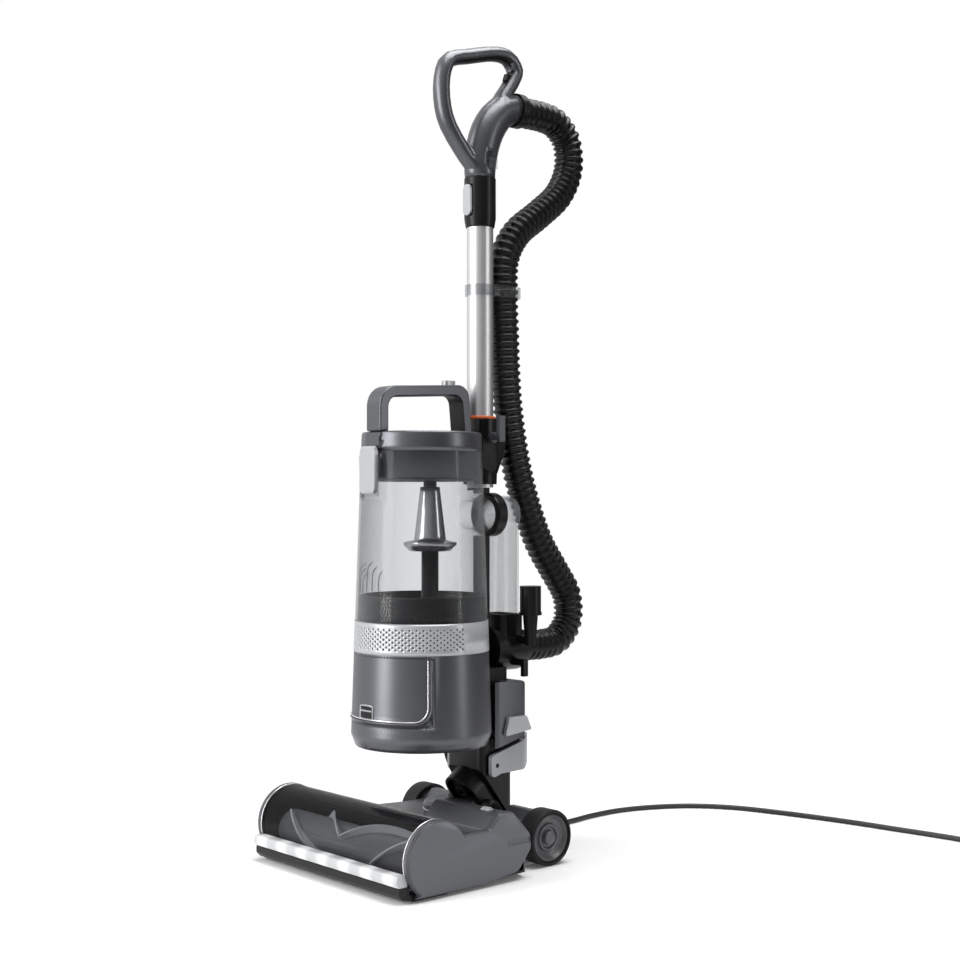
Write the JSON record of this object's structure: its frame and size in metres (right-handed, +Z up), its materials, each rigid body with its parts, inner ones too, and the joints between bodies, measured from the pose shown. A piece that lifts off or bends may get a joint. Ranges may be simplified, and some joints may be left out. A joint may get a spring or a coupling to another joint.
{
  "type": "upright vacuum cleaner",
  "caption": "Upright vacuum cleaner with a wheeled powered floorhead, steering neck, lift-out canister with cyclone bin, metal wand, stretch hose and loop handle.",
  "frame": {"origin": "on the floor, below the middle of the box round the machine (its free mains cord left out)", "axes": "+Z up, the floorhead faces -Y, +X to the right-hand side of the machine seen from its front"},
  "size_m": [0.873, 0.8782, 1.0667],
  "materials": {
    "graphite_shell": "satin metallic",
    "black_plastic": "fine grain",
    "dark_plastic": "satin",
    "silver_plastic": "satin metallic",
    "pale_plastic": "satin",
    "clear_bin": "clear, lightly smoked",
    "smoked_window": "smoked, glossy",
    "light_lens": "frosted",
    "orange_plastic": "satin",
    "aluminium_tube": "brushed",
    "steel": "turned",
    "motor_grey": "satin",
    "tyre_rubber": "smooth, matt",
    "belt_rubber": "matt",
    "hub_grey": "satin",
    "bristle": "stiff strips",
    "filter_felt": "pleated",
    "hose_black": "satin",
    "cord_black": "satin",
    "circuit_board": "lit"
  },
  "bodies": {
    "floorhead": {"head_base": "black_plastic", "head_cover": "graphite_shell", "pivot_dome": "graphite_shell", "end_cap_left": "graphite_shell", "end_cap_right": "graphite_shell", "brush_window": "smoked_window", "light_lens": "light_lens", "light_board": "circuit_board", "soleplate": "dark_plastic", "brush_bearings": "steel", "drive_belt": "belt_rubber", "brush_motor": "motor_grey", "axle": "steel", "cord_lead": "cord_black", "cord_coil": "cord_black", "mains_plug": "cord_black"},
    "slider": {"head_slider": "silver_plastic"},
    "brush": {"brush_core": "motor_grey", "brush_bristles": "bristle"},
    "rotor": {"motor_pulley": "steel"},
    "wheel_left": {"tyre_left": "tyre_rubber", "hub_left": "hub_grey"},
    "wheel_right": {"tyre_right": "tyre_rubber", "hub_right": "hub_grey"},
    "neck": {"yoke": "black_plastic"},
    "stand": {"stand_column": "black_plastic", "stand_cover": "graphite_shell"},
    "foot_pedal": {"pedal": "silver_plastic"},
    "release_button": {"lift_button": "silver_plastic"},
    "canister": {"base_plate": "graphite_shell", "motor_housing": "graphite_shell", "exhaust_band": "silver_plastic", "exhaust_filter": "filter_felt", "suction_motor": "dark_plastic", "spine": "black_plastic", "duct_elbow": "black_plastic", "clear_duct": "clear_bin", "inlet_ring": "black_plastic", "socket_ring": "orange_plastic", "wand_tube": "aluminium_tube", "hose_clip": "clear_bin", "hose": "hose_black", "hose_cuffs": "black_plastic", "collar": "black_plastic", "handle_shell": "graphite_shell", "tool_post": "black_plastic", "cord_gland": "black_plastic"},
    "filter_door": {"filter_cover": "graphite_shell"},
    "fan": {"impeller": "motor_grey"},
    "bin": {"bin_shell": "clear_bin", "bin_floor": "black_plastic"},
    "lid": {"bin_lid": "graphite_shell", "cyclone_cone": "silver_plastic", "carry_handle": "graphite_shell"},
    "lid_button": {"bin_button": "silver_plastic"},
    "latch": {"bin_latch": "pale_plastic"},
    "cord_hook": {"cord_hook_upper": "graphite_shell"},
    "wand_button": {"collar_button": "silver_plastic"},
    "trigger": {"handle_trigger": "black_plastic"},
    "suction_slider": {"regulator": "clear_bin"}
  },
  "joints": [
    {"name": "slider_travel", "type": "slide", "parent": "floorhead", "child": "slider", "axis": [1, 0, 0], "range_m": [0, 0.006]},
    {"name": "brush_spin", "type": "hinge", "parent": "floorhead", "child": "brush", "pos_m": [0, -0.16609, 0.035], "axis": [1, 0, 0], "continuous": true},
    {"name": "rotor_spin", "type": "hinge", "parent": "floorhead", "child": "rotor", "pos_m": [0, -0.05609, 0.047], "axis": [1, 0, 0], "continuous": true},
    {"name": "wheel_left_roll", "type": "hinge", "parent": "floorhead", "child": "wheel_left", "pos_m": [0, 0.03991, 0.035], "axis": [1, 0, 0], "continuous": true},
    {"name": "wheel_right_roll", "type": "hinge", "parent": "floorhead", "child": "wheel_right", "pos_m": [0, 0.03991, 0.035], "axis": [1, 0, 0], "continuous": true},
    {"name": "recline", "type": "hinge", "parent": "floorhead", "child": "neck", "pos_m": [0, 0.03991, 0.035], "axis": [-1, 0, 0], "range_deg": [0, 55], "deforming": ["cord_lead"]},
    {"name": "steer", "type": "hinge", "parent": "neck", "child": "stand", "pos_m": [0, 0.00391, 0.077], "axis": [0, 0.7912, 0.6115], "range_deg": [-30, 30], "deforming": ["cord_lead"]},
    {"name": "pedal_press", "type": "hinge", "parent": "stand", "child": "foot_pedal", "pos_m": [0, 0.02591, 0.116], "axis": [-1, 0, 0], "range_deg": [0, 12], "stiffness_Nm_per_rad": 2, "springref_deg": -17.19},
    {"name": "release_press", "type": "slide", "parent": "stand", "child": "release_button", "axis": [0, 0, -1], "range_m": [0, 0.005], "stiffness_N_per_m": 600, "springref_m": -0.003},
    {"name": "canister_lift", "type": "slide", "parent": "stand", "child": "canister", "axis": [0, 0, 1], "range_m": [0, 0.12]},
    {"name": "filter_door_pull", "type": "slide", "parent": "canister", "child": "filter_door", "axis": [0, -1, 0], "range_m": [0, 0.02]},
    {"name": "fan_spin", "type": "hinge", "parent": "canister", "child": "fan", "pos_m": [0, -0.06509, 0.15], "axis": [0, 0, 1], "continuous": true},
    {"name": "bin_pull", "type": "slide", "parent": "canister", "child": "bin", "axis": [0, -0.9, 0.436], "range_m": [0, 0.06]},
    {"name": "lid_lift", "type": "slide", "parent": "bin", "child": "lid", "axis": [0, 0, 1], "range_m": [0, 0.06]},
    {"name": "lid_button_press", "type": "slide", "parent": "lid", "child": "lid_button", "axis": [0, 0, -1], "range_m": [0, 0.003], "stiffness_N_per_m": 500, "springref_m": -0.002},
    {"name": "latch_turn", "type": "hinge", "parent": "bin", "child": "latch", "pos_m": [0, -0.14886, 0.4685], "axis": [1, 0, 0], "range_deg": [0, 25], "stiffness_Nm_per_rad": 0.05, "springref_deg": -20.05},
    {"name": "cord_hook_turn", "type": "hinge", "parent": "canister", "child": "cord_hook", "pos_m": [0, 0.03291, 0.541], "axis": [1, 0, 0], "range_deg": [0, 180]},
    {"name": "wand_button_press", "type": "slide", "parent": "canister", "child": "wand_button", "axis": [0, 1, 0], "range_m": [0, 0.0015], "stiffness_N_per_m": 500, "springref_m": -0.001},
    {"name": "trigger_press", "type": "slide", "parent": "canister", "child": "trigger", "axis": [0, 0.9397, -0.342], "range_m": [0, 0.0015], "stiffness_N_per_m": 600, "springref_m": -0.001},
    {"name": "suction_slider_travel", "type": "slide", "parent": "canister", "child": "suction_slider", "axis": [0, 0, 1], "range_m": [0, 0.008]}
  ],
  "couplings": [
    {"joint": "rotor_spin", "follows": "brush_spin", "ratio": 2.1429}
  ]
}
